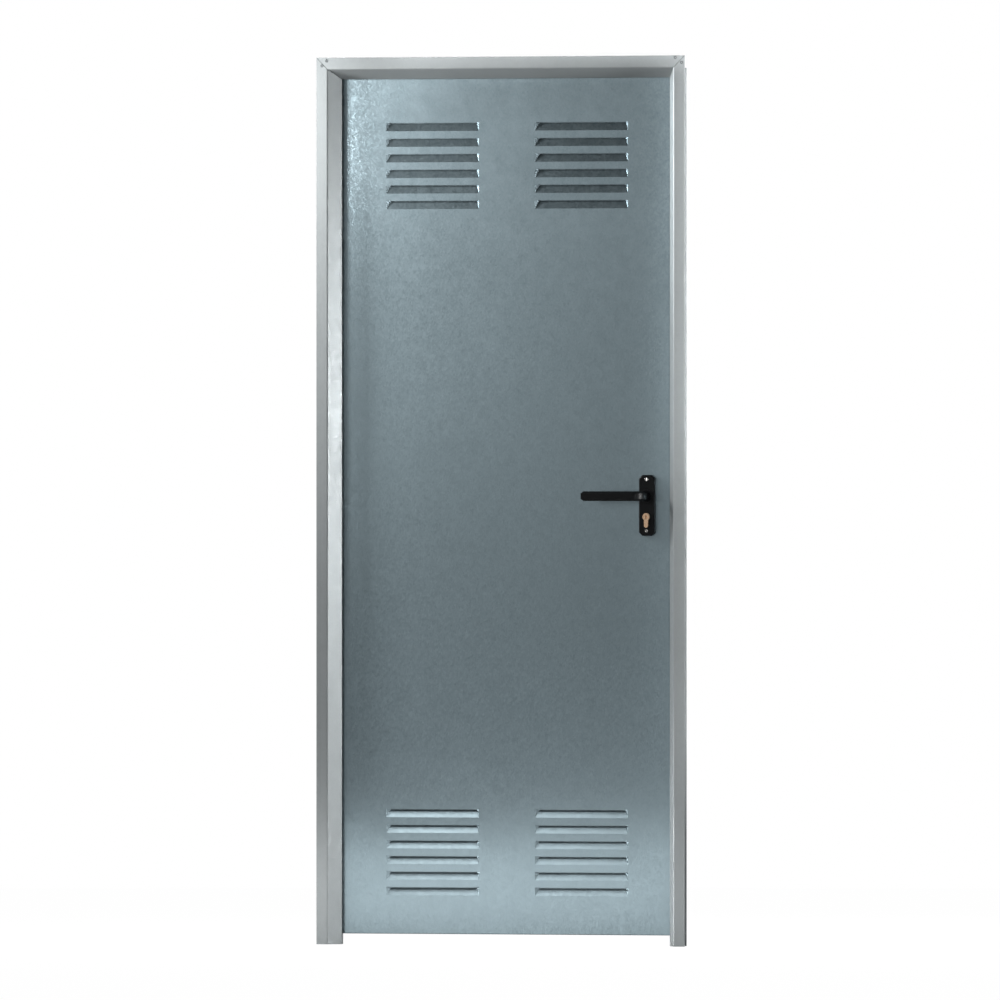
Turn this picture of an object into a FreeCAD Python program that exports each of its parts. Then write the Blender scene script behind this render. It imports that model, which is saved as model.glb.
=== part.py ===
import FreeCAD, Part
import math
import os
import Sketcher

# Driving dimensions of the door set, in millimetres.
DIMENSIONS = {
    "frame_width": 900,
    "frame_height": 2020,
    "face_width": 27,
    "splay_width": 24.8,
    "reveal_depth": 37.5,
    "rebate_inset": 33.5,
    "rear_return": 6.5,
    "frame_gauge": 1.5,
    "face_bend": 4.5,
    "fold_bend": 3,
    "fixing_bore": 9,
    "fixing_margin": 260,
    "side_gap": 7,
    "stop_gap": 5,
    "floor_gap": 24.5,
    "leaf_thickness": 40,
    "skin_gauge": 1,
    "skin_bend": 2,
    "seam_flange": 18,
    "louvre_length": 227,
    "louvre_height": 19,
    "louvre_depth": 8,
    "louvre_end_draft": 8,
    "louvre_lip": 1.5,
    "louvre_pitch": 35.5,
    "louvre_rows": 6,
    "louvre_columns": 364,
    "louvre_top_margin": 108.5,
    "louvre_bottom_margin": 88,
    "backset": 65,
    "spindle_height": 1021,
    "cylinder_drop": 47,
    "spindle_width": 8,
    "plate_width": 38,
    "plate_height": 138,
    "plate_thickness": 10,
    "plate_corner": 8,
    "plate_bevel": 2,
    "plate_drop": 21,
    "boss_bore": 20,
    "boss_wall": 4.5,
    "boss_rise": 3,
    "running_gap": 0.3,
    "lever_reach": 140,
    "lever_standoff": 46,
    "lever_height": 22,
    "lever_thickness": 13,
    "lever_edge": 5,
    "lever_elbow": 18,
    "cylinder_round": 17,
    "cylinder_web": 10,
    "cylinder_height": 33,
    "cylinder_rise": 3,
    "plug_bore": 13,
    "plug_length": 24,
    "key_slot_width": 2.4,
    "key_slot_height": 8,
    "key_slot_depth": 9,
    "lock_case_width": 90,
    "lock_case_height": 165,
    "lock_case_thickness": 16,
    "lock_case_wall": 2,
    "lock_case_drop": 27,
    "forend_width": 22,
    "forend_height": 235,
    "forend_gauge": 3,
    "latch_height": 18,
    "latch_width": 12,
    "latch_length": 30,
    "bolt_height": 34,
    "bolt_drop": 82,
    "keep_margin": 8,
    "hinge_height": 120,
    "hinge_margin": 200,
    "hinge_plate": 3,
    "hinge_plate_width": 17,
    "knuckle_diameter": 16,
    "knuckle_rise": 1,
    "pin_diameter": 9.8,
    "pin_clearance": 0.08,
    "knuckle_gap": 0.3,
}

# Places worked out from the driving dimensions, written as sheet expressions.
FRAME_X = "(-dim.face_width / 2)"
FRAME_Y = "(-dim.frame_gauge)"
FRAME_DEPTH = "(dim.reveal_depth + dim.stop_gap + dim.leaf_thickness)"
FRAME_MIDDLE = f"({FRAME_X} + dim.frame_width / 2)"
MITRE_REACH = "(dim.face_width + dim.splay_width + dim.rebate_inset)"
LEAF_WIDTH = "(dim.frame_width - 2 * dim.rebate_inset - 2 * dim.side_gap)"
LEAF_HEIGHT = "(dim.frame_height - dim.rebate_inset - dim.side_gap - dim.floor_gap)"
LEAF_X = f"({FRAME_X} + dim.rebate_inset + dim.side_gap)"
LEAF_Y = f"({FRAME_Y} + dim.reveal_depth + dim.stop_gap)"
LEAF_BACK = f"({LEAF_Y} + dim.leaf_thickness)"
LEAF_MIDDLE_Y = f"({LEAF_Y} + dim.leaf_thickness / 2)"
LOCK_EDGE = f"({LEAF_X} + {LEAF_WIDTH})"
SPINDLE_X = f"({LOCK_EDGE} - dim.backset)"
CYLINDER_Z = "(dim.spindle_height - dim.cylinder_drop)"
HINGE_X = f"({LEAF_X} - dim.side_gap / 2)"
HINGE_Y = f"({LEAF_BACK} + dim.knuckle_diameter / 2 + dim.knuckle_rise)"
TURN_ABOUT_Z = FreeCAD.Rotation(FreeCAD.Vector(0, 0, 1), 180)

doc = FreeCAD.newDocument("steel_utility_door")
sheet = doc.addObject("Spreadsheet::Sheet", "dim")
for row, (alias, value) in enumerate(DIMENSIONS.items(), 1):
    sheet.set(f"A{row}", alias)
    sheet.set(f"B{row}", str(value))
    sheet.setAlias(f"B{row}", alias)
doc.recompute()
nodes = []


def size(expression):
    result = sheet.evalExpression(expression)
    return float(getattr(result, "Value", result))


def place(piece, x="0", y="0", z="0", rotation=None):
    piece.Placement = FreeCAD.Placement(
        FreeCAD.Vector(size(x), size(y), size(z)), rotation or FreeCAD.Rotation()
    )
    for axis, expression in zip("xyz", (x, y, z)):
        piece.setExpression(f"Placement.Base.{axis}", expression)
    return piece


def keep(piece, label):
    piece.Label = label
    nodes.append(piece)
    return piece


# Sketch helpers: every corner and centre is tied to the sheet.
def tie(sketch, kind, expression, *targets):
    index = sketch.addConstraint(Sketcher.Constraint(kind, *targets, size(expression)))
    name = f"{kind}_{index}"
    sketch.renameConstraint(index, name)
    sketch.setExpression(f"Constraints.{name}", expression)


def tie_point(sketch, geometry, point, x, y):
    tie(sketch, "DistanceX", x, -1, 1, geometry, point)
    tie(sketch, "DistanceY", y, -1, 1, geometry, point)


def outline(sketch, corners):
    first = sketch.GeometryCount
    points = [FreeCAD.Vector(size(x), size(y), 0) for x, y in corners]
    count = len(points)
    for i in range(count):
        sketch.addGeometry(Part.LineSegment(points[i], points[(i + 1) % count]), False)
    for i in range(count):
        follower = first + (i + 1) % count
        sketch.addConstraint(Sketcher.Constraint("Coincident", first + i, 2, follower, 1))
    for i, (x, y) in enumerate(corners):
        tie_point(sketch, first + i, 1, x, y)


def rectangle(sketch, left, bottom, right, top):
    outline(sketch, [(left, bottom), (right, bottom), (right, top), (left, top)])


def circle(sketch, x, y, diameter):
    centre = FreeCAD.Vector(size(x), size(y), 0)
    ring = sketch.addGeometry(Part.Circle(centre, FreeCAD.Vector(0, 0, 1), size(diameter) / 2), False)
    tie_point(sketch, ring, 3, x, y)
    tie(sketch, "Diameter", diameter, ring)


def keyhole(sketch, x, y, allowance):
    """Outline of a profile cylinder: a round head over a narrow round-ended web."""
    head = f"(dim.cylinder_round / 2 + {allowance})"
    web = f"(dim.cylinder_web / 2 + {allowance})"
    foot = f"({y} - dim.cylinder_height + dim.cylinder_round / 2 + dim.cylinder_web / 2)"
    centre = FreeCAD.Vector(size(x), size(y), 0)
    end = FreeCAD.Vector(size(x), size(foot), 0)
    normal = FreeCAD.Vector(0, 0, 1)
    drop = math.acos(size(web) / size(head))
    half = FreeCAD.Vector(size(web), 0, 0)
    shoulder = FreeCAD.Vector(0, size(head) * math.sin(drop), 0)
    round_head = Part.ArcOfCircle(Part.Circle(centre, normal, size(head)), -drop, math.pi + drop)
    round_foot = Part.ArcOfCircle(Part.Circle(end, normal, size(web)), math.pi, 2 * math.pi)
    top = sketch.addGeometry(round_head, False)
    left = sketch.addGeometry(Part.LineSegment(centre - half - shoulder, end - half), False)
    bottom = sketch.addGeometry(round_foot, False)
    right = sketch.addGeometry(Part.LineSegment(end + half, centre + half - shoulder), False)
    sketch.addConstraint(Sketcher.Constraint("Coincident", top, 2, left, 1))
    sketch.addConstraint(Sketcher.Constraint("Tangent", left, 2, bottom, 1))
    sketch.addConstraint(Sketcher.Constraint("Tangent", bottom, 2, right, 1))
    sketch.addConstraint(Sketcher.Constraint("Coincident", right, 2, top, 1))
    sketch.addConstraint(Sketcher.Constraint("Vertical", left))
    sketch.addConstraint(Sketcher.Constraint("Vertical", right))
    tie_point(sketch, top, 3, x, y)
    tie_point(sketch, bottom, 3, x, foot)
    tie(sketch, "Radius", head, top)
    tie(sketch, "Radius", web, bottom)


# Body helpers.
def new_body(name, x="0", y="0", z="0", rotation=None):
    return place(doc.addObject("PartDesign::Body", name), x, y, z, rotation)


def origin_feature(body, role):
    return next(item for item in body.Origin.OriginFeatures if item.Role == role)


def new_sketch(body, name, plane, offset="0"):
    """Sketch on an origin plane; the offset runs along +X, +Y or +Z of the body."""
    sketch = body.newObject("Sketcher::SketchObject", name)
    sketch.AttachmentSupport = (origin_feature(body, plane), [""])
    sketch.MapMode = "FlatFace"
    along_normal = f"-({offset})" if plane == "XZ_Plane" else offset
    if offset != "0":
        sketch.setExpression("AttachmentOffset.Base.z", along_normal)
    return sketch


def pad(body, sketch, length, name):
    feature = body.newObject("PartDesign::Pad", name)
    feature.Profile = sketch
    feature.setExpression("Length", length)
    feature.Reversed = "XZ_Plane" in sketch.AttachmentSupport[0][0].Role
    doc.recompute()
    return feature


def pocket(body, sketch, length, name):
    """Cut that runs along +X, +Y or +Z from its sketch."""
    before = body.Shape.Volume
    feature = body.newObject("PartDesign::Pocket", name)
    feature.Profile = sketch
    feature.setExpression("Length", length)
    feature.Reversed = "XZ_Plane" not in sketch.AttachmentSupport[0][0].Role
    doc.recompute()
    if body.Shape.Volume > before - 1e-6:
        raise RuntimeError(f"{name} cuts nothing from {body.Name}")
    return feature


def front_edges(feature, level):
    """Names of the edges that lie in the plane y = level of the body's own frame."""
    names = []
    for number, edge in enumerate(feature.Shape.Edges, 1):
        box = edge.BoundBox
        if abs(box.YMin - level) < 1e-4 and abs(box.YMax - level) < 1e-4:
            names.append(f"Edge{number}")
    return names


def mirrored(source, name, base, normal, expression):
    copy = doc.addObject("Part::Mirroring", name)
    copy.Source = source
    copy.Base = base
    copy.Normal = normal
    axis = "x" if normal.x else "y"
    copy.setExpression(f"Base.{axis}", expression)
    return copy


def box(name, x, y, z, length, width, height):
    block = doc.addObject("Part::Box", name)
    for side, expression in (("Length", length), ("Width", width), ("Height", height)):
        block.setExpression(side, expression)
    return place(block, x, y, z)


def cut(base, tool, name):
    feature = doc.addObject("Part::Cut", name)
    feature.Base = base
    feature.Tool = tool
    return feature


# Frame: one folded section, mitred at the head.
def fold_line(name, corners):
    """Open fold line through the given corners, each a place and a bend radius."""
    sketch = doc.addObject("Sketcher::SketchObject", name)
    points = [FreeCAD.Vector(size(x), size(y), 0) for x, y, _ in corners]
    last = len(points) - 1
    start = points[0]
    lines = []
    bends = []
    for i in range(1, last):
        arriving = (points[i] - points[i - 1]).normalize()
        leaving = (points[i + 1] - points[i]).normalize()
        turn = arriving.getAngle(leaving)
        radius = size(corners[i][2])
        setback = radius * math.tan(turn / 2)
        inward = (leaving - arriving).normalize()
        centre = points[i] + inward * (radius / math.cos(turn / 2))
        before = points[i] - arriving * setback
        after = points[i] + leaving * setback
        turns_left = arriving.cross(leaving).z > 0
        first, second = (before, after) if turns_left else (after, before)
        angles = [math.atan2(end.y - centre.y, end.x - centre.x) for end in (first, second)]
        ring = Part.Circle(centre, FreeCAD.Vector(0, 0, 1), radius)
        lines.append(sketch.addGeometry(Part.LineSegment(start, before), False))
        bend = sketch.addGeometry(Part.ArcOfCircle(ring, angles[0], angles[1]), False)
        bends.append((bend, 1 if turns_left else 2))
        start = after
    lines.append(sketch.addGeometry(Part.LineSegment(start, points[last]), False))
    for i, (bend, near_end) in enumerate(bends):
        corner = sketch.addGeometry(Part.Point(points[i + 1]), True)
        tie_point(sketch, corner, 1, corners[i + 1][0], corners[i + 1][1])
        for line, line_end, bend_end in ((lines[i], 2, near_end), (lines[i + 1], 1, 3 - near_end)):
            sketch.addConstraint(Sketcher.Constraint("PointOnObject", corner, 1, line))
            sketch.addConstraint(Sketcher.Constraint("Tangent", line, line_end, bend, bend_end))
        tie(sketch, "Radius", corners[i + 1][2], bend)
    tie_point(sketch, lines[0], 1, corners[0][0], corners[0][1])
    tie_point(sketch, lines[-1], 2, corners[last][0], corners[last][1])
    return sketch


def frame_member(name, length, direction, rotation, x, y, z):
    corners = [
        ("0", "0", "0"),
        ("dim.face_width", "0", "dim.face_bend"),
        ("dim.face_width + dim.splay_width", "dim.reveal_depth", "dim.fold_bend"),
        ("dim.rebate_inset", "dim.reveal_depth", "dim.fold_bend"),
        ("dim.rebate_inset", FRAME_DEPTH, "dim.fold_bend"),
        ("dim.rebate_inset - dim.rear_return", FRAME_DEPTH, "0"),
    ]
    sketch = fold_line(f"{name}_fold", corners)
    place(sketch, x, y, z, rotation)
    section = doc.addObject("Part::Offset2D", f"{name}_section")
    section.Source = sketch
    section.setExpression("Value", "-dim.frame_gauge")
    section.Mode = "Skin"
    section.Join = "Arc"
    section.Fill = True
    bar = doc.addObject("Part::Extrusion", f"{name}_bar")
    bar.Base = section
    bar.DirMode = "Custom"
    bar.Dir = direction
    bar.Solid = True
    bar.setExpression("LengthFwd", length)
    return bar


def mitre_block(name, corners):
    """Block that a member is trimmed to, drawn in the plane of the door."""
    sketch = doc.addObject("Sketcher::SketchObject", f"{name}_mitre")
    outline(sketch, corners)
    upright = FreeCAD.Rotation(FreeCAD.Vector(1, 0, 0), 90)
    place(sketch, FRAME_X, FRAME_DEPTH, "0", upright)
    block = doc.addObject("Part::Extrusion", f"{name}_trim")
    block.Base = sketch
    block.DirMode = "Custom"
    block.Dir = FreeCAD.Vector(0, -1, 0)
    block.Solid = True
    block.setExpression("LengthFwd", f"2 * {FRAME_DEPTH}")
    return block


def trimmed(bar, block, name):
    feature = doc.addObject("Part::Common", name)
    feature.Base = bar
    feature.Tool = block
    return feature


def keep_slots():
    """Latch and bolt openings in the rebate of the lock jamb."""
    web = f"({FRAME_X} + dim.frame_width - dim.rebate_inset - dim.frame_gauge)"
    tools = []
    for name, z, height in (
        ("latch_slot", "dim.spindle_height", "dim.latch_height"),
        ("bolt_slot", "dim.spindle_height - dim.bolt_drop", "dim.bolt_height"),
    ):
        tools.append(box(
            name, web, f"{LEAF_MIDDLE_Y} - dim.latch_width / 2 - dim.keep_margin / 2",
            f"{z} - {height} / 2 - dim.keep_margin / 2",
            "4 * dim.frame_gauge", "dim.latch_width + dim.keep_margin", f"{height} + dim.keep_margin",
        ))
    slots = doc.addObject("Part::MultiFuse", "keep_slots")
    slots.Shapes = tools
    return slots


def make_frame():
    jamb_bar = frame_member(
        "jamb", "dim.frame_height", FreeCAD.Vector(0, 0, 1), FreeCAD.Rotation(), FRAME_X, FRAME_Y, "0"
    )
    downward = FreeCAD.Rotation(
        FreeCAD.Vector(0, 0, -1), FreeCAD.Vector(0, 1, 0), FreeCAD.Vector(1, 0, 0), "XYZ"
    )
    head_bar = frame_member(
        "head", "dim.frame_width", FreeCAD.Vector(1, 0, 0), downward, FRAME_X, FRAME_Y, "dim.frame_height"
    )
    low = f"dim.frame_height - {MITRE_REACH}"
    jamb_block = mitre_block(
        "jamb", [("0", "0"), (MITRE_REACH, "0"), (MITRE_REACH, low), ("0", "dim.frame_height")]
    )
    head_block = mitre_block("head", [
        ("0", "dim.frame_height"), (MITRE_REACH, low),
        (f"dim.frame_width - {MITRE_REACH}", low), ("dim.frame_width", "dim.frame_height"),
    ])
    keep(trimmed(head_bar, head_block, "head_piece"), "head")
    jamb = trimmed(jamb_bar, jamb_block, "jamb_piece")

    bores = []
    heights = ("dim.fixing_margin", "dim.frame_height / 2", "dim.frame_height - dim.fixing_margin")
    across = FreeCAD.Rotation(FreeCAD.Vector(0, 1, 0), 90)
    for number, height in enumerate(heights, 1):
        bore = doc.addObject("Part::Cylinder", f"fixing_bore_{number}")
        bore.setExpression("Radius", "dim.fixing_bore / 2")
        bore.setExpression("Height", "6 * dim.frame_gauge")
        inside = f"{FRAME_X} + dim.rebate_inset - 3 * dim.frame_gauge"
        bores.append(place(bore, inside, LEAF_MIDDLE_Y, height, across))
    fixings = doc.addObject("Part::MultiFuse", "fixing_bores")
    fixings.Shapes = bores
    hinge_jamb = keep(cut(jamb, fixings, "hinge_jamb_piece"), "hinge_jamb")
    other_side = mirrored(
        hinge_jamb, "lock_jamb_blank", FreeCAD.Vector(), FreeCAD.Vector(1, 0, 0), FRAME_MIDDLE
    )
    keep(cut(other_side, keep_slots(), "lock_jamb_piece"), "lock_jamb")


# Leaf: a front tray and a rear sheet, both with pressed louvres.
def press_louvres(body, left, top):
    """Scoops pressed inward, slit along the top edge and running out flush at the bottom."""
    gauge = "dim.skin_gauge"
    right = f"({left} + dim.louvre_length)"
    bottom = f"({top} - dim.louvre_height)"
    draft = "dim.louvre_end_draft"
    back_front = new_sketch(body, "scoop_back_front", "XZ_Plane")
    rectangle(back_front, f"{left} - {gauge}", f"{bottom} - {gauge}", f"{right} + {gauge}", top)
    back_rear = new_sketch(body, "scoop_back_rear", "XZ_Plane", f"dim.louvre_depth + {gauge}")
    rectangle(
        back_rear, f"{left} + {draft} - {gauge}", f"{top} - dim.louvre_lip - {gauge}",
        f"{right} - {draft} + {gauge}", top,
    )
    scoop = body.newObject("PartDesign::AdditiveLoft", "scoop")
    scoop.Profile = back_front
    scoop.Sections = [back_rear]
    scoop.Ruled = True
    hollow_front = new_sketch(body, "hollow_front", "XZ_Plane")
    rectangle(hollow_front, left, bottom, right, top)
    hollow_rear = new_sketch(body, "hollow_rear", "XZ_Plane", "dim.louvre_depth")
    rectangle(
        hollow_rear, f"{left} + {draft}", f"{top} - dim.louvre_lip", f"{right} - {draft}", top
    )
    hollow = body.newObject("PartDesign::SubtractiveLoft", "hollow")
    hollow.Profile = hollow_front
    hollow.Sections = [hollow_rear]
    hollow.Ruled = True
    doc.recompute()
    run = "dim.louvre_pitch * (dim.louvre_rows - 1)"
    span = (
        f"{LEAF_HEIGHT} - dim.louvre_top_margin - dim.louvre_bottom_margin"
        f" - dim.louvre_height - {run}"
    )
    field = body.newObject("PartDesign::MultiTransform", "louvre_field")
    field.Originals = [scoop, hollow]
    steps = []
    for name, role, length, count in (
        ("rows", "Z_Axis", run, "dim.louvre_rows"),
        ("columns", "X_Axis", "dim.louvre_columns", "2"),
        ("groups", "Z_Axis", span, "2"),
    ):
        step = body.newObject("PartDesign::LinearPattern", name)
        step.Direction = (origin_feature(body, role), [""])
        step.Reversed = role == "Z_Axis"
        step.setExpression("Length", length)
        step.setExpression("Occurrences", count)
        steps.append(step)
    field.Transformations = steps
    body.Tip = field
    doc.recompute()


def pierce(body, spindle_x, spindle_z, depth):
    """Openings for the lever neck and the cylinder."""
    openings = new_sketch(body, "lock_openings", "XZ_Plane")
    circle(openings, spindle_x, spindle_z, "dim.boss_bore")
    keyhole(openings, spindle_x, f"({spindle_z} - dim.cylinder_drop)", "dim.running_gap")
    pocket(body, openings, depth, "lock_opening")


def make_skins():
    louvre_left = f"(({LEAF_WIDTH} - dim.louvre_columns - dim.louvre_length) / 2)"
    louvre_top = f"({LEAF_HEIGHT} - dim.louvre_top_margin)"
    spindle_z = "(dim.spindle_height - dim.floor_gap)"
    tray_depth = "(dim.leaf_thickness - dim.skin_gauge)"

    tray = new_body("front_skin_body", LEAF_X, LEAF_Y, "dim.floor_gap")
    face = new_sketch(tray, "tray_face", "XZ_Plane")
    rectangle(face, "0", "0", LEAF_WIDTH, LEAF_HEIGHT)
    block = pad(tray, face, tray_depth, "tray_block")
    bend = tray.newObject("PartDesign::Fillet", "tray_bend")
    bend.Base = (block, front_edges(block, 0))
    bend.setExpression("Radius", "dim.skin_bend")
    doc.recompute()
    inside = new_sketch(tray, "tray_inside", "XZ_Plane", "dim.skin_gauge")
    gauge = "dim.skin_gauge"
    rectangle(inside, gauge, gauge, f"{LEAF_WIDTH} - {gauge}", f"{LEAF_HEIGHT} - {gauge}")
    pocket(tray, inside, f"{tray_depth} - 2 * {gauge}", "tray_hollow")
    mouth = new_sketch(tray, "tray_mouth", "XZ_Plane", f"{tray_depth} - {gauge}")
    flange = "dim.seam_flange"
    rectangle(mouth, flange, flange, f"{LEAF_WIDTH} - {flange}", f"{LEAF_HEIGHT} - {flange}")
    pocket(tray, mouth, gauge, "tray_opening")
    pierce(tray, f"({LEAF_WIDTH} - dim.backset)", spindle_z, gauge)
    slot = new_sketch(tray, "forend_slot", "YZ_Plane", f"{LEAF_WIDTH} - {gauge}")
    middle = "dim.leaf_thickness / 2"
    half = "dim.forend_width / 2 + dim.running_gap"
    base = f"({spindle_z} - dim.lock_case_drop - dim.forend_height / 2 - dim.running_gap)"
    rectangle(
        slot, f"{middle} - ({half})", base, f"{middle} + {half}",
        f"{base} + dim.forend_height + 2 * dim.running_gap",
    )
    pocket(tray, slot, gauge, "forend_opening")
    press_louvres(tray, louvre_left, louvre_top)
    keep(tray, "front_skin")

    rear = new_body("rear_skin_body", LOCK_EDGE, LEAF_BACK, "dim.floor_gap", TURN_ABOUT_Z)
    face = new_sketch(rear, "rear_face", "XZ_Plane")
    rectangle(face, "0", "0", LEAF_WIDTH, LEAF_HEIGHT)
    pad(rear, face, gauge, "rear_sheet")
    pierce(rear, "dim.backset", spindle_z, gauge)
    press_louvres(rear, louvre_left, louvre_top)
    keep(rear, "rear_skin")


# Lock: case with forend, latch, bolt and profile cylinder.
def make_lock():
    wall = "dim.lock_case_wall"
    half_case = "dim.lock_case_thickness / 2"
    low = "(-dim.lock_case_drop - dim.lock_case_height / 2)"
    high = "(-dim.lock_case_drop + dim.lock_case_height / 2)"
    rear_end = "(dim.backset - dim.forend_gauge - dim.lock_case_width)"
    lock = new_body("lock_body", SPINDLE_X, LEAF_MIDDLE_Y, "dim.spindle_height")
    case = new_sketch(lock, "case_face", "XZ_Plane", f"-{half_case}")
    rectangle(case, rear_end, low, "dim.backset - dim.forend_gauge", high)
    pad(lock, case, "dim.lock_case_thickness", "case")
    forend = new_sketch(lock, "forend_face", "YZ_Plane", "dim.backset - dim.forend_gauge")
    half_forend = "dim.forend_width / 2"
    forend_low = "(-dim.lock_case_drop - dim.forend_height / 2)"
    rectangle(forend, f"-{half_forend}", forend_low, half_forend, f"{forend_low} + dim.forend_height")
    pad(lock, forend, "dim.forend_gauge", "forend")
    hollow = new_sketch(lock, "case_hollow", "XZ_Plane", f"{wall} - {half_case}")
    rectangle(
        hollow, f"{rear_end} + {wall}", f"{low} + {wall}",
        f"dim.backset - dim.forend_gauge - {wall}", f"{high} - {wall}",
    )
    pocket(lock, hollow, f"dim.lock_case_thickness - 2 * {wall}", "case_inside")
    openings = new_sketch(lock, "case_openings", "XZ_Plane", f"-{half_case}")
    circle(openings, "0", "0", "1.5 * dim.spindle_width")
    keyhole(openings, "0", "(-dim.cylinder_drop)", "dim.running_gap")
    pocket(lock, openings, "dim.lock_case_thickness", "case_opening")
    ports = new_sketch(lock, "bolt_ports", "YZ_Plane", f"dim.backset - dim.forend_gauge - {wall}")
    side = "(dim.latch_width / 2 + dim.running_gap)"
    for centre, height in (("0", "dim.latch_height"), ("(-dim.bolt_drop)", "dim.bolt_height")):
        reach = f"({height} / 2 + dim.running_gap)"
        rectangle(ports, f"-{side}", f"{centre} - {reach}", side, f"{centre} + {reach}")
    pocket(lock, ports, f"dim.forend_gauge + {wall}", "bolt_port")
    keep(lock, "mortise_lock")

    # The latch and the bolt are drawn back, flush with the forend.
    for label, drop, height in (
        ("latch_bolt", "0", "dim.latch_height"),
        ("dead_bolt", "dim.bolt_drop", "dim.bolt_height"),
    ):
        keep(box(
            f"{label}_block", f"{LOCK_EDGE} - dim.latch_length", f"{LEAF_MIDDLE_Y} - dim.latch_width / 2",
            f"dim.spindle_height - {drop} - {height} / 2", "dim.latch_length", "dim.latch_width", height,
        ), label)


def make_cylinder():
    reach = "(dim.leaf_thickness / 2 + dim.plate_thickness + dim.cylinder_rise)"
    barrel = new_body("cylinder_body", SPINDLE_X, LEAF_MIDDLE_Y, CYLINDER_Z)
    profile = new_sketch(barrel, "cylinder_profile", "XZ_Plane", f"-{reach}")
    keyhole(profile, "0", "0", "0")
    pad(barrel, profile, f"2 * {reach}", "cylinder_bar")
    bore = new_sketch(barrel, "plug_bores", "XZ_Plane", f"-{reach}")
    circle(bore, "0", "0", "dim.plug_bore")
    pocket(barrel, bore, "dim.plug_length", "front_bore")
    rear_bore = new_sketch(barrel, "rear_plug_bores", "XZ_Plane", f"{reach} - dim.plug_length")
    circle(rear_bore, "0", "0", "dim.plug_bore")
    pocket(barrel, rear_bore, "dim.plug_length", "rear_bore")
    keep(barrel, "key_cylinder")

    plug = new_body("plug_body", SPINDLE_X, f"{LEAF_MIDDLE_Y} - {reach}", CYLINDER_Z)
    face = new_sketch(plug, "plug_face", "XZ_Plane")
    circle(face, "0", "0", "dim.plug_bore - 2 * dim.pin_clearance")
    pad(plug, face, "dim.plug_length - dim.pin_clearance", "plug_bar")
    key = new_sketch(plug, "key_slot", "XZ_Plane")
    half = "dim.key_slot_width / 2"
    rectangle(key, f"-{half}", "-dim.key_slot_height / 2", half, "dim.key_slot_height / 2")
    pocket(plug, key, "dim.key_slot_depth", "keyway")
    keep(plug, "outer_plug")
    keep(mirrored(plug, "inner_plug_piece", FreeCAD.Vector(), FreeCAD.Vector(0, 1, 0), LEAF_MIDDLE_Y),
         "inner_plug")


# Lever furniture: plates, levers and the square spindle that joins them.
def make_plates():
    plate = new_body("plate_body", SPINDLE_X, f"{LEAF_Y} - dim.plate_thickness", "dim.spindle_height")
    half = "(dim.plate_width / 2)"
    low = "(-dim.plate_drop - dim.plate_height / 2)"
    high = "(-dim.plate_drop + dim.plate_height / 2)"
    corner = "dim.plate_corner"
    face = new_sketch(plate, "plate_face", "XZ_Plane")
    outline(face, [
        (f"-{half} + {corner}", low), (f"{half} - {corner}", low), (half, f"{low} + {corner}"),
        (half, f"{high} - {corner}"), (f"{half} - {corner}", high), (f"-{half} + {corner}", high),
        (f"-{half}", f"{high} - {corner}"), (f"-{half}", f"{low} + {corner}"),
    ])
    block = pad(plate, face, "dim.plate_thickness", "plate_block")
    bevel = plate.newObject("PartDesign::Chamfer", "plate_edge")
    bevel.Base = (block, front_edges(block, 0))
    bevel.setExpression("Size", "dim.plate_bevel")
    doc.recompute()
    boss = new_sketch(plate, "boss_face", "XZ_Plane", "-dim.boss_rise")
    circle(boss, "0", "0", "dim.boss_bore + 2 * dim.boss_wall")
    pad(plate, boss, "dim.boss_rise + dim.plate_bevel", "boss")
    openings = new_sketch(plate, "plate_openings", "XZ_Plane", "-dim.boss_rise")
    circle(openings, "0", "0", "dim.boss_bore")
    keyhole(openings, "0", "(-dim.cylinder_drop)", "dim.running_gap")
    pocket(plate, openings, "dim.plate_thickness + dim.boss_rise", "plate_opening")
    keep(plate, "outer_plate")
    keep(mirrored(plate, "inner_plate_piece", FreeCAD.Vector(), FreeCAD.Vector(0, 1, 0), LEAF_MIDDLE_Y),
         "inner_plate")


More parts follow.
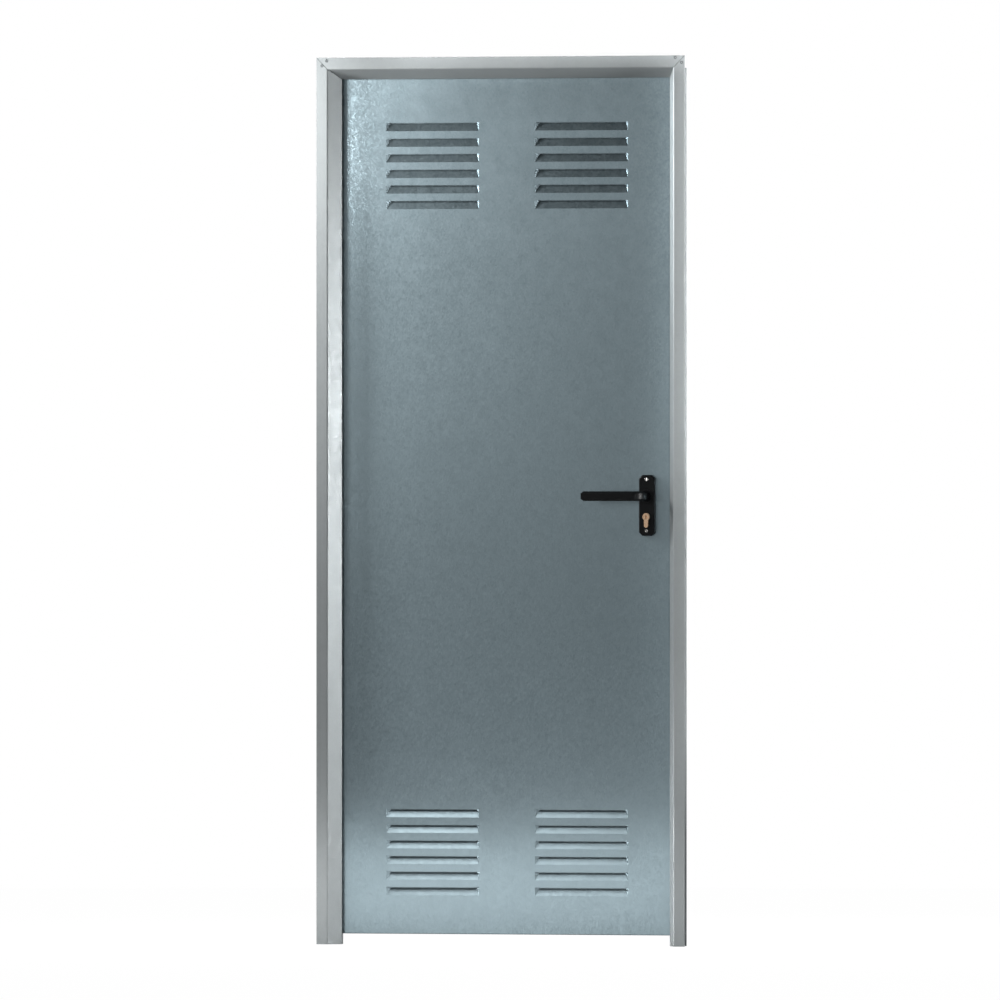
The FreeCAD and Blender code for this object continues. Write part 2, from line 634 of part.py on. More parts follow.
def make_levers():
    """Round neck, elbow and flat-sided grip swept in one piece, pointing to the hinge side."""
    lever = new_body("lever_body", SPINDLE_X, LEAF_Y, "dim.spindle_height")
    neck_run = "(dim.plate_thickness + dim.lever_standoff - dim.lever_elbow)"
    bar_start = "(dim.plate_thickness + dim.boss_rise + dim.running_gap)"
    path = new_sketch(lever, "lever_path", "XY_Plane")
    elbow = size("dim.lever_elbow")
    foot = FreeCAD.Vector(0, -size(bar_start), 0)
    neck_end = FreeCAD.Vector(0, -size(neck_run), 0)
    centre = neck_end + FreeCAD.Vector(-elbow, 0, 0)
    grip_start = centre + FreeCAD.Vector(0, -elbow, 0)
    tip = FreeCAD.Vector(-size("dim.lever_reach"), grip_start.y, 0)
    bend = Part.ArcOfCircle(
        Part.Circle(centre, FreeCAD.Vector(0, 0, 1), elbow), 1.5 * math.pi, 2 * math.pi
    )
    neck = path.addGeometry(Part.LineSegment(foot, neck_end), False)
    turn = path.addGeometry(bend, False)
    grip = path.addGeometry(Part.LineSegment(grip_start, tip), False)
    path.addConstraint(Sketcher.Constraint("Tangent", neck, 2, turn, 2))
    path.addConstraint(Sketcher.Constraint("Tangent", turn, 1, grip, 1))
    path.addConstraint(Sketcher.Constraint("Vertical", neck))
    tie_point(path, neck, 1, "0", f"-{bar_start}")
    tie(path, "Radius", "dim.lever_elbow", turn)
    tie_point(path, grip, 2, "-dim.lever_reach", "-dim.plate_thickness - dim.lever_standoff")
    section = new_sketch(lever, "lever_section", "XZ_Plane", f"-{bar_start}")
    across = "(dim.lever_thickness / 2)"
    up = "(dim.lever_height / 2)"
    edge = "dim.lever_edge"
    outline(section, [
        (f"-{across} + {edge}", f"-{up}"), (f"{across} - {edge}", f"-{up}"),
        (across, f"-{up} + {edge}"), (across, f"{up} - {edge}"),
        (f"{across} - {edge}", up), (f"-{across} + {edge}", up),
        (f"-{across}", f"{up} - {edge}"), (f"-{across}", f"-{up} + {edge}"),
    ])
    sweep = lever.newObject("PartDesign::AdditivePipe", "lever_bar")
    sweep.Profile = section
    sweep.Spine = (path, [])
    doc.recompute()
    collar = new_sketch(lever, "neck_face", "XZ_Plane", f"-{bar_start} - dim.lever_edge")
    circle(collar, "0", "0", "dim.boss_bore - 2 * dim.running_gap")
    pad(lever, collar, f"{bar_start} + dim.lever_edge", "neck_round")
    tip_front = "-dim.plate_thickness - dim.lever_standoff - dim.lever_height"
    nose = new_sketch(lever, "tip_round", "XZ_Plane", tip_front)
    tip_x = "(-dim.lever_reach)"
    outline(nose, [
        (f"{tip_x} - 1", f"-{up} - 1"), (f"{tip_x} + {edge}", f"-{up} - 1"), (f"{tip_x} + {edge}", f"-{up}"),
        (tip_x, f"-{up} + {edge}"), (tip_x, f"{up} - {edge}"), (f"{tip_x} + {edge}", up),
        (f"{tip_x} + {edge}", f"{up} + 1"), (f"{tip_x} - 1", f"{up} + 1"),
    ])
    pocket(lever, nose, "2 * dim.lever_height", "tip_corners")
    socket = new_sketch(lever, "spindle_socket", "XZ_Plane", f"-({neck_run})")
    hole = "(dim.spindle_width / 2 + dim.pin_clearance)"
    rectangle(socket, f"-{hole}", f"-{hole}", hole, hole)
    pocket(lever, socket, neck_run, "spindle_hole")
    keep(lever, "outer_lever")
    keep(mirrored(lever, "inner_lever_piece", FreeCAD.Vector(), FreeCAD.Vector(0, 1, 0), LEAF_MIDDLE_Y),
         "inner_lever")
    half = "dim.spindle_width / 2"
    reach = f"(dim.leaf_thickness / 2 + {neck_run} - dim.pin_clearance)"
    keep(box(
        "spindle_bar", f"{SPINDLE_X} - {half}", f"{LEAF_MIDDLE_Y} - {reach}", f"dim.spindle_height - {half}",
        "dim.spindle_width", f"2 * {reach}", "dim.spindle_width",
    ), "spindle")


# Hinges: lift-off knuckles behind the rebate, one plate on the jamb's web and one on the leaf.
def hinge_half(label, base_z, plate, link, knuckle_low, knuckle_high):
    """A full-height plate, the link to its knuckle and the knuckle, around the pin's axis."""
    body = new_body(f"{label}_body", HINGE_X, HINGE_Y, base_z)
    section = new_sketch(body, "plate_section", "XY_Plane")
    rectangle(section, *plate)
    pad(body, section, "dim.hinge_height", "hinge_plate")
    tall = f"({knuckle_high} - ({knuckle_low}))"
    web = new_sketch(body, "link_section", "XY_Plane", knuckle_low)
    rectangle(web, *link)
    pad(body, web, tall, "hinge_link")
    barrel = new_sketch(body, "barrel_section", "XY_Plane", knuckle_low)
    circle(barrel, "0", "0", "dim.knuckle_diameter")
    pad(body, barrel, tall, "barrel")
    bore = new_sketch(body, "pin_bore", "XY_Plane", knuckle_low)
    circle(bore, "0", "0", "dim.pin_diameter + 2 * dim.pin_clearance")
    pocket(body, bore, tall, "pin_hole")
    keep(body, label)


def make_hinges():
    half = "dim.hinge_height / 2"
    seat = "(-dim.knuckle_diameter / 2 - dim.knuckle_rise)"
    raised = f"({seat} + dim.hinge_plate)"
    near = f"(dim.pin_clearance - {seat})"
    far = f"({near} + dim.hinge_plate_width)"
    web_face = "(-dim.side_gap / 2)"
    web_side = f"({web_face} + dim.hinge_plate)"
    deep = f"({seat} - dim.hinge_plate_width)"
    top = f"(dim.floor_gap + {LEAF_HEIGHT} - dim.hinge_margin - {half})"
    for name, base in (("upper", top), ("lower", f"(dim.floor_gap + dim.hinge_margin - {half})")):
        hinge_half(
            f"{name}_hinge_jamb_half", base,
            (web_face, deep, web_side, seat), (web_face, seat, web_side, "0"), "0", half,
        )
        hinge_half(
            f"{name}_hinge_leaf_half", base,
            (near, seat, far, raised), ("0", seat, near, raised), f"{half} + dim.knuckle_gap", "dim.hinge_height",
        )
        pin = doc.addObject("Part::Cylinder", f"{name}_pin_bar")
        pin.setExpression("Radius", "dim.pin_diameter / 2")
        pin.setExpression("Height", "dim.hinge_height")
        keep(place(pin, HINGE_X, HINGE_Y, base), f"{name}_hinge_pin")


make_frame()
make_skins()
make_lock()
make_cylinder()
make_plates()
make_levers()
make_hinges()
doc.recompute()

for item in doc.Objects:
    if "Invalid" in item.State or "Error" in item.State:
        raise RuntimeError(f"{item.Label} failed: {item.State}")
for node in nodes:
    if node.Shape.isNull() or not node.Shape.isValid():
        raise RuntimeError(f"{node.Label} has no valid shape")

os.makedirs("parts", exist_ok=True)
for node in nodes:
    node.Shape.exportStep(f"parts/{node.Label}.step")
    extent = node.Shape.BoundBox
    print(node.Label, len(node.Shape.Solids), round(node.Shape.Volume), extent)
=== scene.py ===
import math
import bmesh
import bpy
from mathutils import Matrix, Vector


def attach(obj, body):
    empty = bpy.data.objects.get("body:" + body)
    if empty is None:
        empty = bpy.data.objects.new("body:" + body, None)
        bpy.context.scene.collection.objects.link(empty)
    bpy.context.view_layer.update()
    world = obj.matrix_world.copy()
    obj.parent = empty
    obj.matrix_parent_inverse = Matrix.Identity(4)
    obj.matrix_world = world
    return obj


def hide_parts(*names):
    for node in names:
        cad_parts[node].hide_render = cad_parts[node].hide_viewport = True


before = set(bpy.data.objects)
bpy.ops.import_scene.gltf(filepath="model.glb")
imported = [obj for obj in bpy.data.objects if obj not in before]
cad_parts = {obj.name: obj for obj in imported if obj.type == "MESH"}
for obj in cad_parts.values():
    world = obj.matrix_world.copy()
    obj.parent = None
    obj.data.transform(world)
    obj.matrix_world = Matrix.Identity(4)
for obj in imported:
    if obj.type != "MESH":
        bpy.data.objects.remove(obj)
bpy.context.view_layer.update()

scene = bpy.context.scene
scene.view_settings.view_transform = "Standard"
print("frame loaded:", len(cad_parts), "nodes")


class Flow:  # one shader socket that can be added, subtracted and multiplied
    def __init__(self, tree, socket=None):
        self.tree, self.socket = tree, socket

    def make(self, kind, settings=None, inputs=None, output=0):
        node = self.tree.nodes.new(kind)
        for name, value in (settings or {}).items():
            if name == "stops":
                for stop, (place, shade) in zip(node.color_ramp.elements, value):
                    stop.position, stop.color = place, (shade, shade, shade, 1)
            else:
                setattr(node, name, value)
        for name, value in (inputs or {}).items():
            if isinstance(value, Flow):
                self.tree.links.new(value.socket, node.inputs[name])
            else:
                node.inputs[name].default_value = value
        return Flow(self.tree, node.outputs[output] if node.outputs else None)

    def sum(self, operation, first, second):
        return self.make("ShaderNodeMath", {"operation": operation}, {0: first, 1: second})

    def __add__(self, other): return self.sum("ADD", self, other)
    def __radd__(self, other): return self.sum("ADD", other, self)
    def __sub__(self, other): return self.sum("SUBTRACT", self, other)
    def __rsub__(self, other): return self.sum("SUBTRACT", other, self)
    def __mul__(self, other): return self.sum("MULTIPLY", self, other)
    def __rmul__(self, other): return self.sum("MULTIPLY", other, self)

    def vector(self, operation, inputs):
        return self.make("ShaderNodeVectorMath", {"operation": operation}, inputs)

    def blendColours(self, factor, first, second):
        return self.make("ShaderNodeMix", {"data_type": "RGBA"}, {0: factor, 6: first, 7: second}, 2)

    def ramp(self, value, stops):  # two stops, each a place and a shade
        return self.make("ShaderNodeValToRGB", {"stops": stops}, {"Fac": value})

    def remap(self, value, start, end, low=0.0, high=1.0):
        return self.make("ShaderNodeMapRange", None, {0: value, 1: start, 2: end, 3: low, 4: high})

    def noise(self, place, scale, detail=3, rough=0.5):
        return self.make("ShaderNodeTexNoise", None, {
            "Vector": place, "Scale": scale, "Detail": detail, "Roughness": rough})

    def bump(self, height, strength, depth, **normal):
        return self.make("ShaderNodeBump", None, {
            "Strength": strength, "Distance": depth, "Height": height, **normal})


def rgba(colour):
    return (*colour, 1)


def newMaterial(name):
    material = bpy.data.materials.new(name)
    material.use_nodes = True
    material.node_tree.nodes.clear()
    flow = Flow(material.node_tree)
    place = flow.make("ShaderNodeTexCoord", output=3)  # object coordinates, the door's own metres
    return material, flow, place


def closeMaterial(material, flow, settings):
    shader = flow.make("ShaderNodeBsdfPrincipled", None, settings)
    flow.make("ShaderNodeOutputMaterial", None, {"Surface": shader})
    return material


midShade = 0.5  # patterns run from 0 to 1 around this

# Galvanised sheet: zinc crystals, each tilted a little its own way
zincCoat = {
    "broadScale": 0.42, "broadShare": 0.25,  # larger crystals among the fine ones
    "band": (1.1, 1.8),  # tilt and contrast go from their first value to their second here
    "grain": 900, "grainBump": 0.08, "grainDepth": 0.0004,
    "stain": 3.2, "mottle": 38, "mottleStops": ((0.3, 0.0), (0.72, 1.0)),
    "cellShade": 0.5, "mottleShade": 0.3, "stainShade": 0.2,
    "cellRough": 0.16, "stainRough": 0.1,
}


def galvanised(name, look):
    material, flow, place = newMaterial(name)
    coat = zincCoat
    rolled = flow.vector("MULTIPLY", {0: place, 1: (1, 1, look["draw"])})
    fine, broad = [
        flow.make("ShaderNodeTexVoronoi", None, {"Vector": rolled, "Scale": scale}, 1)
        for scale in (look["crystal"], look["crystal"] * coat["broadScale"])]
    cells = flow.blendColours(coat["broadShare"], fine, broad)
    cell = flow.make("ShaderNodeSeparateColor", None, {"Color": cells})
    centred = flow.vector("SUBTRACT", {0: cells, 1: (midShade, midShade, midShade)})
    rise = flow.make("ShaderNodeSeparateXYZ", None, {0: place}, 2)
    tilt = flow.remap(rise, *coat["band"], *look["tilt"])
    # partly painted sparkle: the crystals' own tone, with its colour contrast raised towards the top
    # to stand in for the glints of the top sheen
    contrast = flow.remap(rise, *coat["band"], *look["contrast"])
    lean = flow.vector("SCALE", {0: centred, "Scale": tilt})
    face = flow.make("ShaderNodeNewGeometry", output=1)
    facet = flow.vector("NORMALIZE", {0: flow.vector("ADD", {0: face, 1: lean})})
    grain = flow.noise(place, coat["grain"], 2)
    normal = flow.bump(grain, coat["grainBump"], coat["grainDepth"], Normal=facet)
    stain = flow.noise(place, coat["stain"], 5, 0.6)
    mottle = flow.ramp(flow.noise(place, coat["mottle"], 4, 0.65), coat["mottleStops"])
    shade = coat["cellShade"] * cell + coat["mottleShade"] * mottle + coat["stainShade"] * stain
    colour = flow.blendColours(
        midShade + contrast * (shade - midShade), rgba(look["dark"]), rgba(look["pale"]))
    roughness = (look["rough"] + coat["cellRough"] * (cell - midShade)
                 + coat["stainRough"] * (stain - midShade))
    return closeMaterial(material, flow, {
        "Base Color": colour, "Metallic": look["metal"], "Roughness": roughness, "Normal": normal})


# the leaf's colour contrast rises towards the top: the sheet's own spangle, strengthened up high as
# painted sparkle of the top sheen
leafSheet = {
    "dark": (0.196, 0.258, 0.284), "pale": (0.312, 0.392, 0.430), "rough": 0.38, "metal": 0.85,
    "crystal": 290, "draw": 0.75, "tilt": (0.07, 0.13), "contrast": (0.4, 1.25),
}
frameSheet = {
    "dark": (0.245, 0.264, 0.269), "pale": (0.285, 0.306, 0.311), "rough": 0.48, "metal": 0.5,
    "crystal": 300, "draw": 0.6, "tilt": (0.015, 0.015), "contrast": (1.0, 1.0),
}
leafGalvanised = galvanised("leafGalvanised", leafSheet)
frameGalvanised = galvanised("frameGalvanised", frameSheet)

# Plated and cast metals with a light brushing and handling marks
brushing = {
    "lines": 260, "lineShade": 0.35, "lineBump": 0.12, "lineDepth": 0.0003,
    "marks": 70, "markStops": ((0.35, 0.0), (0.75, 1.0)), "markShade": 0.65, "markRough": 0.16,
}


def plainMetal(name, look):
    material, flow, place = newMaterial(name)
    stretch = flow.vector("MULTIPLY", {0: place, 1: look["brush"]})
    lines = flow.noise(stretch, brushing["lines"])
    marks = flow.ramp(flow.noise(place, brushing["marks"], 5, 0.65), brushing["markStops"])
    colour = flow.blendColours(
        brushing["markShade"] * marks + brushing["lineShade"] * lines,
        rgba(look["dark"]), rgba(look["pale"]))
    roughness = look["rough"] + brushing["markRough"] * (marks - midShade)
    normal = flow.bump(lines, brushing["lineBump"], brushing["lineDepth"])
    return closeMaterial(material, flow, {
        "Base Color": colour, "Metallic": 1.0, "Roughness": roughness, "Normal": normal})


zinc = plainMetal("zincPlate", {
    "dark": (0.42, 0.42, 0.40), "pale": (0.62, 0.62, 0.60), "brush": (1, 1, 0.15), "rough": 0.36})
brass = plainMetal("cylinderBrass", {
    "dark": (0.66, 0.42, 0.26), "pale": (0.90, 0.66, 0.46), "brush": (1, 0.2, 1), "rough": 0.3})
screwSteel = plainMetal("screwSteel", {
    "dark": (0.45, 0.44, 0.42), "pale": (0.72, 0.71, 0.69), "brush": (1, 1, 1), "rough": 0.3})
# painted shade: a near-black finish for the mitre seams and corner rivets, standing for the shade in
# the joints and dimples
paintedSeamShade = plainMetal("seamShadow", {
    "dark": (0.03, 0.035, 0.037), "pale": (0.09, 0.10, 0.105), "brush": (1, 1, 1), "rough": 0.6})


# Black handle finish: satin, with a fine moulded grain and paler rubbed patches
def handleBlack(name, look):
    material, flow, place = newMaterial(name)
    grain = flow.noise(place, look["grain"], 2)
    rubbed = flow.ramp(flow.noise(place, look["rubbed"], 4, 0.6), look["rubbedStops"])
    colour = flow.blendColours(
        look["rubbedShade"] * rubbed + look["grainShade"] * grain,
        rgba(look["dark"]), rgba(look["pale"]))
    return closeMaterial(material, flow, {
        "Base Color": colour,
        "Roughness": look["rough"] - look["rubbedRough"] * rubbed,
        "Normal": flow.bump(grain, look["grainBump"], look["grainDepth"]),
        "Specular IOR Level": look["specular"]})


blackSatin = handleBlack("blackSatin", {
    "dark": (0.003, 0.0035, 0.004), "pale": (0.010, 0.011, 0.012), "rough": 0.42, "specular": 0.14,
    "grain": 1500, "grainShade": 0.2, "grainBump": 0.04, "grainDepth": 0.0002,
    "rubbed": 55, "rubbedStops": ((0.45, 0.0), (0.8, 1.0)), "rubbedShade": 0.6, "rubbedRough": 0.1})
print("materials made")

nodeFinish = {
    leafGalvanised: ["front_skin", "rear_skin"],
    frameGalvanised: ["hinge_jamb", "lock_jamb", "head"],
    zinc: ["mortise_lock", "latch_bolt", "dead_bolt", "spindle",
           "upper_hinge_jamb_half", "lower_hinge_jamb_half",
           "upper_hinge_leaf_half", "lower_hinge_leaf_half",
           "upper_hinge_pin", "lower_hinge_pin"],
    blackSatin: ["outer_plate", "inner_plate", "outer_lever", "inner_lever"],
    brass: ["key_cylinder", "outer_plug", "inner_plug"],
}
for finish, names in nodeFinish.items():
    for name in names:
        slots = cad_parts[name].data.materials
        slots.clear()
        slots.append(finish)
print("CAD nodes dressed")


def addPiece(name, shape, finish, body):
    mesh = bpy.data.meshes.new(name)
    shape.to_mesh(mesh)
    shape.free()
    mesh.materials.append(finish)
    piece = bpy.data.objects.new(name, mesh)
    scene.collection.objects.link(piece)
    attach(piece, body)
    return piece


# Dressed copies of CAD nodes: crisp folds, and rounded edges where a moulding has them
copying = {"weld": 1e-6, "flatAngle": 0.4, "roundSteps": 3}  # angles are in degrees
sheetEdge = {"crease": 14, "round": 0}
mouldEdge = {"crease": 24, "round": 0.0012}
gripEdge = {"crease": 24, "round": 0.003}


def dressCopy(node, body, finish, edge):
    flat, crease = math.radians(copying["flatAngle"]), math.radians(edge["crease"])
    shape = bmesh.new()
    shape.from_mesh(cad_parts[node].data)
    bmesh.ops.remove_doubles(shape, verts=shape.verts, dist=copying["weld"])
    bmesh.ops.dissolve_limit(shape, angle_limit=flat, verts=shape.verts, edges=shape.edges)
    for face in shape.faces:
        face.smooth = True
    for line in shape.edges:
        line.smooth = line.calc_face_angle(math.pi) < crease
    piece = addPiece(node + "Dressed", shape, finish, body)
    if edge["round"]:
        bevel = piece.modifiers.new("edgeRound", "BEVEL")
        bevel.width, bevel.segments = edge["round"], copying["roundSteps"]
        bevel.limit_method, bevel.angle_limit = "ANGLE", crease
        bevel.harden_normals = True
    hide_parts(node)


for skin in ("front_skin", "rear_skin"):
    dressCopy(skin, "leaf", leafGalvanised, sheetEdge)
for plate in ("outer_plate", "inner_plate"):
    dressCopy(plate, "leaf", blackSatin, mouldEdge)
for handle in ("outer_lever", "inner_lever"):
    dressCopy(handle, "lever", blackSatin, gripEdge)
print("dressed copies made")


# Turned heads: rings around an axis, with a cross recess pressed into the top
def turned(profile, at, axis, recess=0.0, segments=32):
    shape = bmesh.new()
    rings = []
    for radius, height in profile:
        ring = []
        for i in range(segments):
            angle = 2 * math.pi * i / segments
            ring.append(shape.verts.new((radius * math.cos(angle), radius * math.sin(angle), height)))
        rings.append(ring)
    for low, high in zip(rings, rings[1:]):
        for i in range(segments):
            j = (i + 1) % segments
            shape.faces.new((low[i], low[j], high[j], high[i]))
    bottom, top = profile[0][1], profile[-1][1] - recess
    for ring, height, side in ((rings[0], bottom, -1), (rings[-1], top, 1)):
        middle = shape.verts.new((0, 0, height))
        for i in range(segments):
            corners = (ring[i], ring[(i + 1) % segments], middle)
            shape.faces.new(corners if side > 0 else corners[::-1])
    quarter = segments // 4
    for ring in rings[-2:]:
        for i, point in enumerate(ring):
            if recess and i % quarter in (0, 1, quarter - 1):  # the four arms of the cross
                point.co.z -= recess
    for face in shape.faces:
        face.smooth = True
    spin = Vector((0, 0, 1)).rotation_difference(Vector(axis)).to_matrix().to_4x4()
    bmesh.ops.transform(shape, matrix=Matrix.Translation(Vector(at)) @ spin, verts=shape.verts)
    return shape


def headProfile(head):  # crown: shares of the radius and the rise, from the rim inwards
    crown = [(wide * head["radius"], high * head["rise"]) for wide, high in head["crown"]]
    return [(head["radius"], -head["sunk"])] + crown


lockDepth = 0.061  # middle of the leaf, where the forend and the frame screws sit

plateScrew = {
    "radius": 0.0040, "rise": 0.0011, "sunk": 0.0012, "recess": 0.0009,
    "crown": ((1, 0.3), (0.86, 0.8), (0.62, 1), (0.3, 1)),
    "x": 0.781, "heights": (1.0589, 0.9423),
    "sides": (("outer", 0.031, (0, -1, 0)), ("inner", 0.091, (0, 1, 0))),
}
for side, y, axis in plateScrew["sides"]:
    for i, z in enumerate(plateScrew["heights"]):
        at = (plateScrew["x"], y, z)
        shape = turned(headProfile(plateScrew), at, axis, plateScrew["recess"])
        addPiece(side + "PlateScrew" + str(i + 1), shape, screwSteel, "leaf")

forendScrew = {
    "radius": 0.0036, "rise": 0.0006, "sunk": 0.0008, "recess": 0.0005,
    "crown": ((1, 0.2), (0.8, 0.8), (0.6, 1), (0.3, 1)),
    "x": 0.846, "heights": (0.8865, 1.1015),
}
for i, z in enumerate(forendScrew["heights"]):
    at = (forendScrew["x"], lockDepth, z)
    shape = turned(headProfile(forendScrew), at, (1, 0, 0), forendScrew["recess"])
    addPiece("forendScrew" + str(i + 1), shape, screwSteel, "leaf")

# Frame screws: sunk heads on a short shank that stays inside the folded jamb
frameScrew = {
    "radius": 0.0042, "rim": 0.0004, "neck": 0.0032, "recess": 0.0012, "crown": (0.62, 0.3),
    "shank": 0.0024, "length": 0.0072, "tip": 0.0006, "taper": 0.002,
    "heights": (0.26, 1.01, 1.76),
    "sides": (("hinge", 0.0199, (1, 0, 0)), ("lock", 0.8531, (-1, 0, 0))),
}
r, k, end = frameScrew["radius"], frameScrew["shank"], -frameScrew["length"]
sunkHead = [(frameScrew["tip"], end), (k, end + frameScrew["taper"]), (k, -frameScrew["neck"]),
            (r, -frameScrew["rim"]), (r, 0)] + [(wide * r, 0) for wide in frameScrew["crown"]]
for side, x, axis in frameScrew["sides"]:
    for i, z in enumerate(frameScrew["heights"]):
        shape = turned(sunkHead, (x, lockDepth, z), axis, frameScrew["recess"])
        addPiece(side + "SideScrew" + str(i + 1), shape, screwSteel, "frame")

frameFace = -0.0015  # y of the flat front of the frame

# Corner rivets beside each mitre, sunk in the middle and coloured with painted shade, standing for
# the shade in punched dimples
cornerRivet = {
    "radius": 0.0034, "rise": 0.0005, "sunk": 0.0006,
    "crown": ((1, 0.4), (0.85, 1), (0.6, 1), (0.5, -0.2)),
    "places": ((0.0119, 2.0127), (0.0002, 2.0014), (0.8638, 2.0157), (0.8790, 2.0043)),
}
for i, (x, z) in enumerate(cornerRivet["places"]):
    shape = turned(headProfile(cornerRivet), (x, frameFace, z), (0, -1, 0))
    addPiece("cornerRivet" + str(i + 1), shape, paintedSeamShade, "frame")

# Mitre seams on the face of the frame: thin raised lines painted dark, as painted shade in the cracks
# of the mitre joints
mitreSeam = {
    "half": 0.00045, "rise": 0.00012, "sunk": 0.0001,
    "runs": (((-0.0133, 2.0198), (0.0125, 1.9940)), ((0.8863, 2.0198), (0.8605, 1.9940))),
}
for i, (start, end) in enumerate(mitreSeam["runs"]):
    shape = bmesh.new()
    along = (Vector(end) - Vector(start)).normalized()
    wide = Vector((-along.y, along.x)) * mitreSeam["half"]
    corners = [Vector(start) + wide, Vector(start) - wide, Vector(end) - wide, Vector(end) + wide]
    back, front = [
        [shape.verts.new((corner.x, y, corner.y)) for corner in corners]
        for y in (frameFace + mitreSeam["sunk"], frameFace - mitreSeam["rise"])]
    shape.faces.new(front)
    shape.faces.new(back[::-1])
    for j in range(4):
        shape.faces.new((front[j], back[j], back[(j + 1) % 4], front[(j + 1) % 4]))
    bmesh.ops.recalc_face_normals(shape, faces=shape.faces)
    addPiece("mitreSeam" + str(i + 1), shape, paintedSeamShade, "frame")
print("screws, rivets and seams added")

# Camera: a long lens from the lock side, level with the middle of the door
cameraSetup = {
    "aim": (0.4365, -0.0015, 1.0123), "turn": 21.64, "away": 60.0,
    "span": 2.2722, "sensor": 36.0, "clip": (1.0, 200.0),
}
turn = math.radians(cameraSetup["turn"])
camera = bpy.data.objects.new("doorCamera", bpy.data.cameras.new("doorCamera"))
scene.collection.objects.link(camera)
camera.data.sensor_width = cameraSetup["sensor"]
camera.data.lens = cameraSetup["sensor"] * cameraSetup["away"] / cameraSetup["span"]
camera.data.clip_start, camera.data.clip_end = cameraSetup["clip"]
toCamera = Vector((math.sin(turn), -math.cos(turn), 0))
camera.location = Vector(cameraSetup["aim"]) + toCamera * cameraSetup["away"]
camera.rotation_euler = (-toCamera).to_track_quat("-Z", "Y").to_euler()
scene.camera = camera

# Studio lamps: broad ones for the leaf, narrow ones for the faces and folds of the frame
lamps = {
    "windowLamp": {"at": (-1.1, -0.42, 1.9), "to": (0.7, 0.0, 1.65),
                   "size": (0.3, 0.6), "power": 45, "spread": 180},
    "sheenLamp": {"at": (-0.47, -0.56, 1.93), "to": (0.1, 0.0, 1.9),
                  "size": (0.14, 0.42), "power": 4.4, "spread": 180},
    "lowSheenLamp": {"at": (-0.5, -0.6, 1.22), "to": (0.08, 0.0, 1.2),
                     "size": (0.14, 0.7), "power": 0.38, "spread": 120},
    "jambLamp": {"at": (1.54, -1.06, 1.86), "to": (1.03, 0.0, 1.84),
                 "size": (0.08, 1.5), "power": 4.3, "spread": 20},
    "lowJambLamp": {"at": (1.54, -1.06, 0.76), "to": (1.01, 0.0, 0.74),
                    "size": (0.08, 0.75), "power": 0.8, "spread": 20},
    "sillRightLamp": {"at": (2.3, -0.16, 0.1), "to": (0.05, 0.0, 0.1),
                      "size": (0.2, 0.3), "power": 0.65, "spread": 50},
    "sillLeftLamp": {"at": (-1.2, -0.2, 0.16), "to": (0.85, 0.0, 0.12),
                     "size": (0.2, 0.3), "power": 1.0, "spread": 40},
    "headLamp": {"at": (0.72, -0.9, 2.09), "to": (0.58, 0.0, 2.045),
                 "size": (0.8, 0.03), "power": 0.22, "spread": 10},
    "sideLamp": {"at": (2.3, -0.16, 1.2), "to": (0.05, 0.0, 1.2),
                 "size": (0.2, 0.9), "power": 7.8, "spread": 80},
    "slopeLamp": {"at": (0.08, -0.65, 0.98), "to": (0.45, 0.0, 0.22),
                  "size": (0.9, 0.35), "power": 0.24, "spread": 50},
    "floorLamp": {"at": (0.5, -0.38, 0.12), "to": (0.57, 0.0, 0.12),
                  "size": (2.4, 0.22), "power": 2.4, "spread": 180},
    "rearLamp": {"at": (1.6, 2.8, 2.4), "to": (0.45, 0.1, 1.0),
                 "size": (1.6, 1.6), "power": 60, "spread": 180},
}
for name, lamp in lamps.items():
    data = bpy.data.lights.new(name, "AREA")
    data.shape, data.energy = "RECTANGLE", lamp["power"]
    data.size, data.size_y = lamp["size"]
    data.spread = math.radians(lamp["spread"])
    made = bpy.data.objects.new(name, data)
    scene.collection.objects.link(made)
    made.visible_camera = False
    made.location = lamp["at"]
    made.rotation_euler = (Vector(lamp["to"]) - made.location).to_track_quat("-Z", "Y").to_euler()

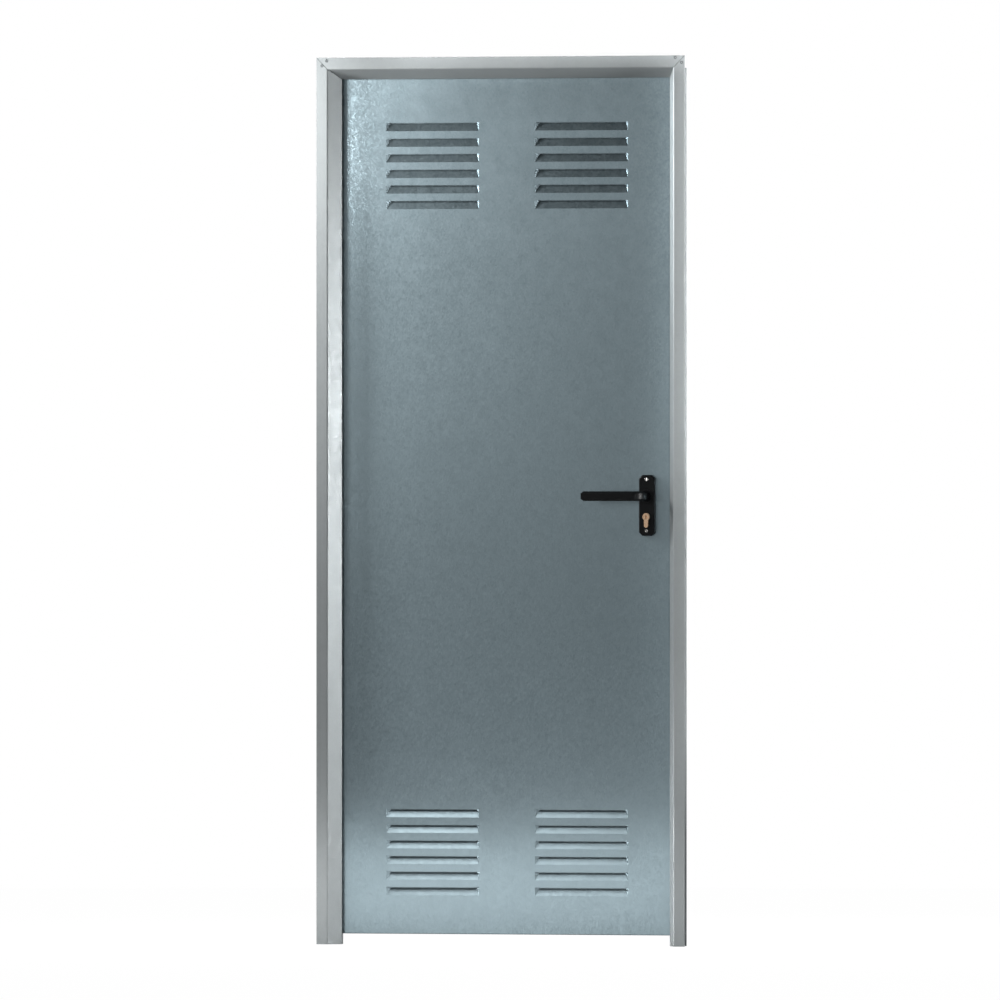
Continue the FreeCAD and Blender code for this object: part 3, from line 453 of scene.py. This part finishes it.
# Surroundings: white behind the door, a dim room in front of it, darker overhead and to the right
studio = {
    "front": 0.66, "overhead": 0.03, "skyline": (0.1, 0.44),
    "right": 0.40, "sideways": (-0.15, 0.4), "backEdge": (-0.15, 0.35),
}
pureWhite = (1, 1, 1, 1)
world = bpy.data.worlds.new("studioWorld")
scene.world = world
world.use_nodes = True
world.node_tree.nodes.clear()
sky = Flow(world.node_tree)
direction = sky.make("ShaderNodeTexCoord")
across, depth, height = [
    sky.make("ShaderNodeSeparateXYZ", None, {0: direction}, part) for part in range(3)]
cameraRay, glossyRay, clearRay = [
    sky.make("ShaderNodeLightPath", output=part) for part in (0, 3, 6)]
behind = sky.remap(depth, *studio["backEdge"])
seenWhite = sky.sum("MAXIMUM", cameraRay + clearRay, glossyRay * behind)
level = sky.remap(height, *studio["skyline"], studio["front"], studio["overhead"])
fall = sky.remap(across, *studio["sideways"], 1.0, studio["right"])
dim = sky.make("ShaderNodeBackground", None, {"Color": pureWhite, "Strength": level * fall})
white = sky.make("ShaderNodeBackground", None, {"Color": pureWhite, "Strength": 1.0})
both = sky.make("ShaderNodeMixShader", None, {0: seenWhite, 1: dim, 2: white})
sky.make("ShaderNodeOutputWorld", None, {"Surface": both})

# Floor: pale, and nearly white to the camera so that only the door's shadow shows on it
studioFloor = {"radius": 9.0, "sides": 96, "drop": 0.0006, "shade": 0.5, "glow": 1.1, "share": 0.9}
floorMesh = bpy.data.meshes.new("studioFloor")
shape = bmesh.new()
bmesh.ops.create_circle(
    shape, cap_ends=True, segments=studioFloor["sides"], radius=studioFloor["radius"])
shape.to_mesh(floorMesh)
shape.free()
floor = bpy.data.objects.new("studioFloor", floorMesh)
floor.location = (cameraSetup["aim"][0], 0, -studioFloor["drop"])
scene.collection.objects.link(floor)
floorPaint = bpy.data.materials.new("paleFloor")
floorPaint.use_nodes = True
floorPaint.node_tree.nodes.clear()
paint = Flow(floorPaint.node_tree)
matte = paint.make("ShaderNodeBsdfDiffuse", None, {"Color": rgba((studioFloor["shade"],) * 3)})
glow = paint.make("ShaderNodeEmission", None, {"Color": pureWhite, "Strength": studioFloor["glow"]})
seen = studioFloor["share"] * paint.make("ShaderNodeLightPath")
mixed = paint.make("ShaderNodeMixShader", None, {0: seen, 1: matte, 2: glow})
paint.make("ShaderNodeOutputMaterial", None, {"Surface": mixed})
floorMesh.materials.append(floorPaint)
print("camera, lamps and floor set")
